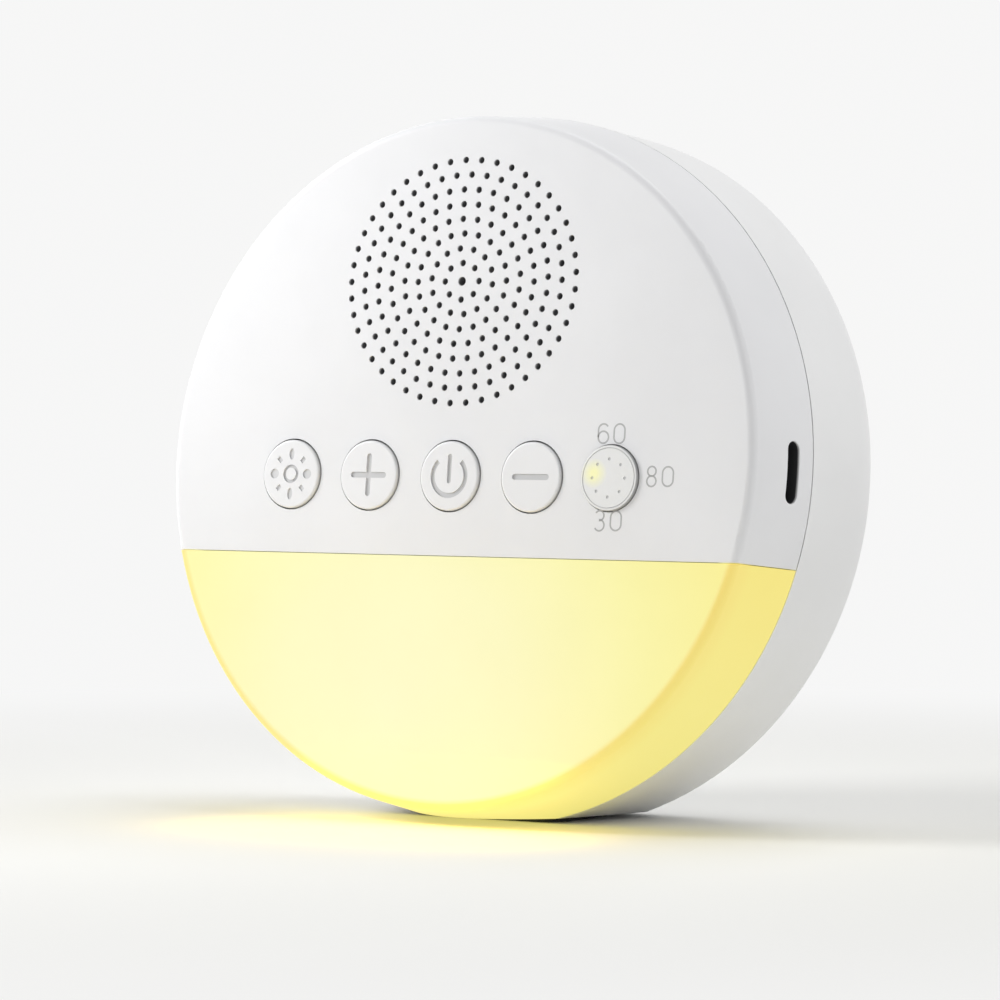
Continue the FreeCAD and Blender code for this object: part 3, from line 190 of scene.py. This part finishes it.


# The side widens by SIDE_TAPER for each unit of depth behind the face, and lies past SIDE_EDGE
# once that is taken off. Between these bounds painted shade goes from sunk to outside, in metres:
# FACE_EDGE and HOLE_DEPTH for the holes in the face, SLOT_DEPTH for the slot and the parting wall.
SIDE_TAPER = 0.1418
SIDE_EDGE = (0.0526, 0.0529)
FACE_EDGE = (0.0495, 0.0500)
HOLE_DEPTH = (-0.00045, -0.00005)
SLOT_DEPTH = (-0.0050, -0.0030)
shell_white = finish("shell_white", (0.825, 0.827, 0.842), 0.42, grain=0.25)
nodes, links = shell_white.node_tree.nodes, shell_white.node_tree.links
face_place = drum_place(nodes, links)
outside = between(nodes, links, off_axis(nodes, links, face_place), *FACE_EDGE)
# Painted shade: the walls of the grille holes and grooves sunk in the face are turned dark grey.
paint_light_or_shade(shell_white, larger(nodes, links, outside, depth(nodes, links, face_place, *HOLE_DEPTH)),
      (0.20, 0.20, 0.205))
parts = nodes.new("ShaderNodeSeparateXYZ")
links.new(face_place, parts.inputs["Vector"])
drawn_in = nodes.new("ShaderNodeMath")
drawn_in.operation = "MULTIPLY_ADD"
drawn_in.inputs[1].default_value = SIDE_TAPER
links.new(parts.outputs["Z"], drawn_in.inputs[0])
links.new(off_axis(nodes, links, face_place), drawn_in.inputs[2])
on_side = between(nodes, links, drawn_in.outputs["Value"], *SIDE_EDGE)
# Painted shade: the slot walls and the parting wall, well behind the face, are turned near black.
paint_light_or_shade(shell_white, larger(nodes, links, on_side, depth(nodes, links, face_place, *SLOT_DEPTH)),
      (0.03, 0.03, 0.032))
dress(shell_white, "front_shell")

# Rear shell: the same white ABS, moulded apart, with a slightly coarser mould texture.
rear_white = finish("rear_white", (0.85, 0.852, 0.855), 0.48, grain=0.35, grain_scale=2200.0)
dress(rear_white, "rear_shell")

# Light diffuser: milky plastic lit from inside by warm LEDs on the board behind it.
# The glow from the LEDs is painted into this material's emission: palest over the LEDs, deeper yellow towards
# the edge and the sides.
GLOW_MIDDLE = (-0.008, -0.038)
GLOW_REACH = 0.075
diffuser, nodes, links = new_material("lit_diffuser")
shader = nodes["Principled BSDF"]
shader.inputs["Roughness"].default_value = 0.4
lens_place = drum_place(nodes, links)
glow = ramp(nodes, links, measure(nodes, links, lens_place, GLOW_MIDDLE, high=GLOW_REACH),
            (0.0, (0.61, 0.61, 0.38)), (0.30, (0.61, 0.61, 0.33)), (0.60, (0.62, 0.60, 0.20)),
            (0.85, (0.63, 0.57, 0.11)))
edge_glow = ramp(nodes, links, measure(nodes, links, lens_place, low=0.0500, high=0.0540),
           (0.35, (1.0, 1.0, 1.0)), (0.55, (0.97, 0.78, 0.22)), (0.75, (0.97, 0.82, 0.30)),
           (0.9, (1.0, 0.92, 0.52)))
lit = nodes.new("ShaderNodeMixRGB")
lit.blend_type = "MULTIPLY"
lit.inputs["Fac"].default_value = 1.0
links.new(glow, lit.inputs["Color1"])
links.new(edge_glow, lit.inputs["Color2"])
links.new(lit.outputs["Color"], shader.inputs["Emission Color"])
shader.inputs["Emission Strength"].default_value = 0.985
cloud = noise(nodes, links, 60.0)
links.new(ramp(nodes, links, cloud, (0.3, (0.34, 0.31, 0.20)), (0.7, (0.36, 0.33, 0.22))),
          shader.inputs["Base Color"])
dress(diffuser, "light_diffuser")

# Push buttons: white ABS caps with sunk symbols, a touch glossier than the shell.
# Painted shade greys the sunk symbols, fading out between these heights out of the face.
SYMBOL_HEIGHTS = (0.00018, 0.00040)
button_white = finish("button_white", (0.835, 0.837, 0.852), 0.38, grain=0.2)
nodes, links = button_white.node_tree.nodes, button_white.node_tree.links
paint_light_or_shade(button_white, depth(nodes, links, drum_place(nodes, links), *SYMBOL_HEIGHTS), (0.60, 0.60, 0.605))
dress(button_white, "light_button", "plus_button", "power_button", "minus_button")

# Timer dial: translucent milky cap with a painted yellow glow spot, over the lamp beside the encoder at rest.
# The painted glow, the painted shade in the dots and on the side wall, and the painted dark outline at the
# rim are drawn on the cap in its own axes, so they turn with it.
LAMP_SPOT = (0.0260, -0.0016)
DIAL_MIDDLE = (0.0286, -0.00225)
DIAL_EDGE = (0.00488, 0.00480)
DOT_HEIGHTS = (0.00038, 0.00049)
dial_milky = finish("dial_milky", (0.83, 0.835, 0.835), 0.35, grain=0.15)
nodes, links = dial_milky.node_tree.nodes, dial_milky.node_tree.links
dial_place = drum_place(nodes, links)
# Painted glow: the spot gets emission and a yellower colour, standing for the lamp's light through the cap.
spot = measure(nodes, links, dial_place, LAMP_SPOT, low=0.0005, high=0.0023)
links.new(ramp(nodes, links, spot, (0.0, (0.11, 0.10, 0.0)), (1.0, (0.0, 0.0, 0.0))),
          nodes["Principled BSDF"].inputs["Emission Color"])
nodes["Principled BSDF"].inputs["Emission Strength"].default_value = 1.0
paint_light_or_shade(dial_milky, spot, (0.88, 0.88, 0.56))
# Painted shade: the sunk dots, the rim groove and the side wall are greyed below the top of the cap.
paint_light_or_shade(dial_milky, depth(nodes, links, dial_place, *DOT_HEIGHTS), (0.64, 0.64, 0.645))
# Painted shade: a dark outline round the edge of the cap stands for the shadow in the gap around it.
paint_light_or_shade(dial_milky, between(nodes, links, off_axis(nodes, links, dial_place, DIAL_MIDDLE), *DIAL_EDGE),
      (0.42, 0.42, 0.425))
dress(dial_milky, "timer_dial")

# Timer numbers: 60, 80 and 30 minutes in thin pale grey print, on the face round the dial.
# Each figure is arcs and straight runs of one stroke width, printed 0.02 mm proud.
MM = 0.001
STROKE = 0.00025
FIGURE_OFFSET = 0.00140
MERGE_DISTANCE = 0.000005
PRINT_TOP = 0.00002
PRINT_ROOT = -0.00002


def print_arc(mesh, centre, radius, start, end):
    """One curved stroke round a centre, from one angle to another, in degrees."""
    ends = [mesh.verts.new((centre[0] + reach * math.cos(math.radians(start)),
                            centre[1] + reach * math.sin(math.radians(start)), PRINT_ROOT))
            for reach in (radius - STROKE / 2, radius + STROKE / 2)]
    edge = mesh.edges.new(ends)
    steps = max(3, round(abs(end - start) / 12))
    bmesh.ops.spin(mesh, geom=ends + [edge], cent=(*centre, PRINT_ROOT), axis=(0, 0, 1),
                   angle=math.radians(end - start), steps=steps)


def print_run(mesh, centre, length):
    """One upright straight stroke."""
    corners = [mesh.verts.new((centre[0] + sx * STROKE / 2, centre[1] + sy * length / 2, PRINT_ROOT))
               for sx, sy in ((-1, -1), (1, -1), (1, 1), (-1, 1))]
    mesh.faces.new(corners)


def figure(mesh, digit, x, y):
    if digit == "0":
        for side in (-1, 1):
            print_run(mesh, (x + side * 0.93 * MM, y), 1.05 * MM)
            print_arc(mesh, (x, y + side * 0.52 * MM), 0.93 * MM, 90 - side * 90, 270 - side * 90)
    if digit == "6":
        print_arc(mesh, (x, y - 0.55 * MM), 0.90 * MM, 0, 360)
        print_run(mesh, (x - 0.90 * MM, y + 0.01 * MM), 1.12 * MM)
        print_arc(mesh, (x, y + 0.55 * MM), 0.90 * MM, 180, 35)
    if digit == "8":
        print_arc(mesh, (x, y + 0.75 * MM), 0.72 * MM, 0, 360)
        print_arc(mesh, (x, y - 0.72 * MM), 0.79 * MM, 0, 360)
    if digit == "3":
        print_arc(mesh, (x - 0.06 * MM, y + 0.74 * MM), 0.74 * MM, 150, -95)
        print_arc(mesh, (x - 0.06 * MM, y - 0.70 * MM), 0.84 * MM, 95, -150)


def printed_number(text, x, y):
    mesh = bmesh.new()
    for digit, side in zip(text, (-1, 1)):
        figure(mesh, digit, x + side * FIGURE_OFFSET, y)
    bmesh.ops.remove_doubles(mesh, verts=mesh.verts, dist=MERGE_DISTANCE)
    flat = list(mesh.faces)
    raised = bmesh.ops.extrude_face_region(mesh, geom=flat)
    top = [item for item in raised["geom"] if isinstance(item, bmesh.types.BMVert)]
    bmesh.ops.translate(mesh, verts=top, vec=(0, 0, PRINT_TOP - PRINT_ROOT))
    bmesh.ops.recalc_face_normals(mesh, faces=mesh.faces)
    bmesh.ops.transform(mesh, matrix=drum, verts=mesh.verts)
    data = bpy.data.meshes.new("number_" + text)
    mesh.to_mesh(data)
    mesh.free()
    number = bpy.data.objects.new("number_" + text, data)
    bpy.context.scene.collection.objects.link(number)
    number.data.materials.append(print_grey)
    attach(number, "drum")


print_grey = finish("print_grey", (0.46, 0.46, 0.465), 0.5, shift=0.05)
printed_number("60", 0.0284, 0.0044)
printed_number("80", 0.0372, -0.0019)
printed_number("30", 0.0286, -0.0086)

# Rubber foot: black moulded rubber, glued in the flat under the drum.
foot_rubber = finish("foot_rubber", (0.03, 0.03, 0.032), 0.8, grain=0.6, grain_scale=1500.0, shift=0.2)
dress(foot_rubber, "rubber_foot")

# USB-C inlet: drawn steel shell and black tongue, seen in the slot on the right side.
usb_steel = finish("usb_steel", (0.09, 0.09, 0.095), 0.55, grain=0.1, shift=0.1, metal=0.5)
dress(usb_steel, "usb_shell")
usb_black = finish("usb_black", (0.02, 0.02, 0.022), 0.5, shift=0.2)
dress(usb_black, "usb_tongue")

# Speaker: black pressed paper cone and cap, butyl surround, zinc plated basket and plates.
cone_paper = finish("cone_paper", (0.035, 0.035, 0.037), 0.85, grain=0.8, grain_scale=1800.0, shift=0.25)
dress(cone_paper, "speaker_cone", "speaker_dust_cap")
surround_rubber = finish("surround_rubber", (0.02, 0.02, 0.021), 0.6, grain=0.2, shift=0.15)
dress(surround_rubber, "speaker_surround")
basket_steel = finish("basket_steel", (0.50, 0.50, 0.51), 0.32, grain=0.15, grain_scale=900.0, shift=0.06,
                      metal=1.0)
dress(basket_steel, "speaker_basket", "speaker_top_plate", "speaker_yoke")
ferrite = finish("ferrite", (0.045, 0.045, 0.048), 0.6, grain=0.5, grain_scale=1400.0, shift=0.2)
dress(ferrite, "speaker_magnet")
copper = finish("copper_wire", (0.72, 0.30, 0.12), 0.3, grain=0.3, grain_scale=2500.0, shift=0.1, metal=1.0)
dress(copper, "voice_coil")
spider_cloth = finish("spider_cloth", (0.55, 0.36, 0.09), 0.85, grain=0.8, grain_scale=2500.0, shift=0.15)
dress(spider_cloth, "speaker_spider")
foam = finish("foam_black", (0.03, 0.03, 0.03), 0.95, grain=1.0, grain_scale=1200.0, shift=0.3)
dress(foam, "speaker_gasket", "battery_tape")
mesh_cloth = finish("mesh_cloth", (0.06, 0.06, 0.06), 0.95, grain=1.0, grain_scale=2600.0, shift=0.3)
dress(mesh_cloth, "dust_mesh")

# Boards: green solder mask on the main board, white on the light board, phenolic terminal strip.
board_green = finish("board_green", (0.012, 0.13, 0.045), 0.3, grain=0.2, grain_scale=500.0, shift=0.25,
                     shift_scale=300.0)
dress(board_green, "main_board")
board_white = finish("board_white", (0.78, 0.78, 0.77), 0.35, grain=0.1)
dress(board_white, "light_board")
reflector_white = finish("reflector_white", (0.88, 0.88, 0.86), 0.6, grain=0.2)
dress(reflector_white, "light_reflector")
phenolic = finish("phenolic", (0.17, 0.085, 0.03), 0.6, grain=0.4, grain_scale=900.0, shift=0.2)
dress(phenolic, "speaker_terminals")

# Parts on the boards: moulded epoxy chips, sleeved capacitors, nylon sockets, switches and LEDs.
chip_black = finish("chip_black", (0.02, 0.02, 0.021), 0.55, grain=0.3, shift=0.2)
dress(chip_black, "board_chips")
sleeve = finish("capacitor_sleeve", (0.02, 0.025, 0.07), 0.3, shift=0.15)
dress(sleeve, "board_capacitors")
nylon = finish("socket_nylon", (0.74, 0.70, 0.60), 0.45, grain=0.1)
dress(nylon, "lead_sockets", "lead_plugs")
switch_black = finish("switch_black", (0.025, 0.025, 0.027), 0.5, grain=0.2, shift=0.2)
dress(switch_black, "light_switch", "plus_switch", "power_switch", "minus_switch", "timer_encoder")
acetal = finish("acetal", (0.70, 0.70, 0.68), 0.4, grain=0.1)
dress(acetal, "light_plunger", "plus_plunger", "power_plunger", "minus_plunger", "timer_shaft", "timer_rotor")
led_warm, nodes, links = new_material("led_warm")
shader = nodes["Principled BSDF"]
shader.inputs["Emission Strength"].default_value = 0.6
shader.inputs["Roughness"].default_value = 0.3
phosphor = ramp(nodes, links, noise(nodes, links, 800.0), (0.3, (0.95, 0.62, 0.08)), (0.7, (1.0, 0.72, 0.14)))
links.new(phosphor, shader.inputs["Base Color"])
links.new(phosphor, shader.inputs["Emission Color"])
dress(led_warm, "light_leds", "timer_lamp")

# Screws: zinc plated steel, three kinds.
screw_steel = finish("screw_steel", (0.55, 0.55, 0.56), 0.28, grain=0.15, grain_scale=1500.0, shift=0.08,
                     metal=1.0)
dress(screw_steel, "board_screws", "speaker_screws", "case_screws")

# Battery pouch in laminated foil, and the leads in PVC insulation.
pouch = finish("battery_foil", (0.42, 0.43, 0.46), 0.35, grain=0.5, grain_scale=400.0, shift=0.06, metal=0.6)
dress(pouch, "battery")
dress(finish("wire_red", (0.55, 0.02, 0.015), 0.4, grain=0.1), "speaker_lead")
dress(finish("wire_black", (0.02, 0.02, 0.02), 0.4, grain=0.1), "battery_lead")
dress(finish("wire_white", (0.75, 0.75, 0.74), 0.4, grain=0.1), "light_lead")


# Table and backdrop: one plain pale sheet that fades into the backdrop's colour, so no horizon shows.
# Its white is a little deeper near the key lamp, so the lit table stays even.
BACKDROP = (0.927, 0.927, 0.925)
mesh = bmesh.new()
bmesh.ops.create_grid(mesh, x_segments=1, y_segments=1, size=2.5)
sheet = bpy.data.meshes.new("table")
mesh.to_mesh(sheet)
mesh.free()
table = bpy.data.objects.new("table", sheet)
bpy.context.scene.collection.objects.link(table)
table_white, nodes, links = new_material("table_white")
shader = nodes["Principled BSDF"]
shader.inputs["Roughness"].default_value = 1.0
shader.inputs["Specular IOR Level"].default_value = 0.0
far = nodes.new("ShaderNodeEmission")
far.inputs["Color"].default_value = (*BACKDROP, 1.0)
place = nodes.new("ShaderNodeTexCoord")
reach = nodes.new("ShaderNodeVectorMath")
reach.operation = "LENGTH"
links.new(place.outputs["Object"], reach.inputs[0])
fade = nodes.new("ShaderNodeMapRange")
fade.interpolation_type = "SMOOTHSTEP"
fade.inputs["From Min"].default_value = 0.10
fade.inputs["From Max"].default_value = 0.30
links.new(reach.outputs["Value"], fade.inputs["Value"])
blended = nodes.new("ShaderNodeMixShader")
links.new(fade.outputs["Result"], blended.inputs["Fac"])
links.new(shader.outputs["BSDF"], blended.inputs[1])
links.new(far.outputs["Emission"], blended.inputs[2])
links.new(blended.outputs["Shader"], nodes["Material Output"].inputs["Surface"])
UNDER_KEY = (-0.22, -0.10)
nearness = measure(nodes, links, place.outputs["Object"], UNDER_KEY, low=0.12, high=0.30)
links.new(ramp(nodes, links, nearness, (0.0, (0.68, 0.68, 0.665)), (0.45, (0.80, 0.80, 0.783)),
               (1.0, (0.86, 0.86, 0.84))), shader.inputs["Base Color"])
table.data.materials.append(table_white)

# World: an even pale surround. What the camera sees behind the table is nearly white.
world = bpy.data.worlds.new("surround")
bpy.context.scene.world = world
world.use_nodes = True
nodes, links = world.node_tree.nodes, world.node_tree.links
surround = nodes["Background"]
surround.inputs["Color"].default_value = (1.0, 1.0, 1.0, 1.0)
surround.inputs["Strength"].default_value = 0.42
backdrop = nodes.new("ShaderNodeBackground")
backdrop.inputs["Color"].default_value = (*BACKDROP, 1.0)
backdrop.inputs["Strength"].default_value = 1.0
paths = nodes.new("ShaderNodeLightPath")
seen = nodes.new("ShaderNodeMath")
seen.operation = "MAXIMUM"
links.new(paths.outputs["Is Camera Ray"], seen.inputs[0])
links.new(paths.outputs["Is Glossy Ray"], seen.inputs[1])
mixed = nodes.new("ShaderNodeMixShader")
links.new(seen.outputs["Value"], mixed.inputs["Fac"])
links.new(surround.outputs["Background"], mixed.inputs[1])
links.new(backdrop.outputs["Background"], mixed.inputs[2])
links.new(mixed.outputs["Shader"], nodes["World Output"].inputs["Surface"])


# Studio lamps: a small key from the front left, a broad fill from the right and behind, and one
# over the top. A low warm one, which the camera doesn't see, stands for the diffuser's light on the table.
def soft_lamp(name, place, size, power, colour=(1.0, 1.0, 1.0)):
    data = bpy.data.lights.new(name, "AREA")
    data.shape = "SQUARE"
    data.size = size
    data.energy = power
    data.color = colour
    lamp = bpy.data.objects.new(name, data)
    bpy.context.scene.collection.objects.link(lamp)
    lamp.location = place
    lamp.rotation_euler = (FACE_MIDDLE - Vector(place)).to_track_quat("-Z", "Y").to_euler()
    return lamp


soft_lamp("key", (-0.27, -0.17, 0.20), 0.14, 0.76)
soft_lamp("side", (0.55, 0.18, 0.38), 0.70, 0.85)
soft_lamp("top", (0.1, 0.45, 1.5), 1.0, 9.0)
floor_glow = soft_lamp("floor_glow", (-0.002, -0.034, 0.011), 0.012, 0.010, (1.0, 0.66, 0.02))
floor_glow.data.shape = "RECTANGLE"
floor_glow.data.size = 0.055
floor_glow.data.size_y = 0.012
floor_glow.rotation_euler = (0.0, 0.0, 0.0)
floor_glow.visible_camera = False
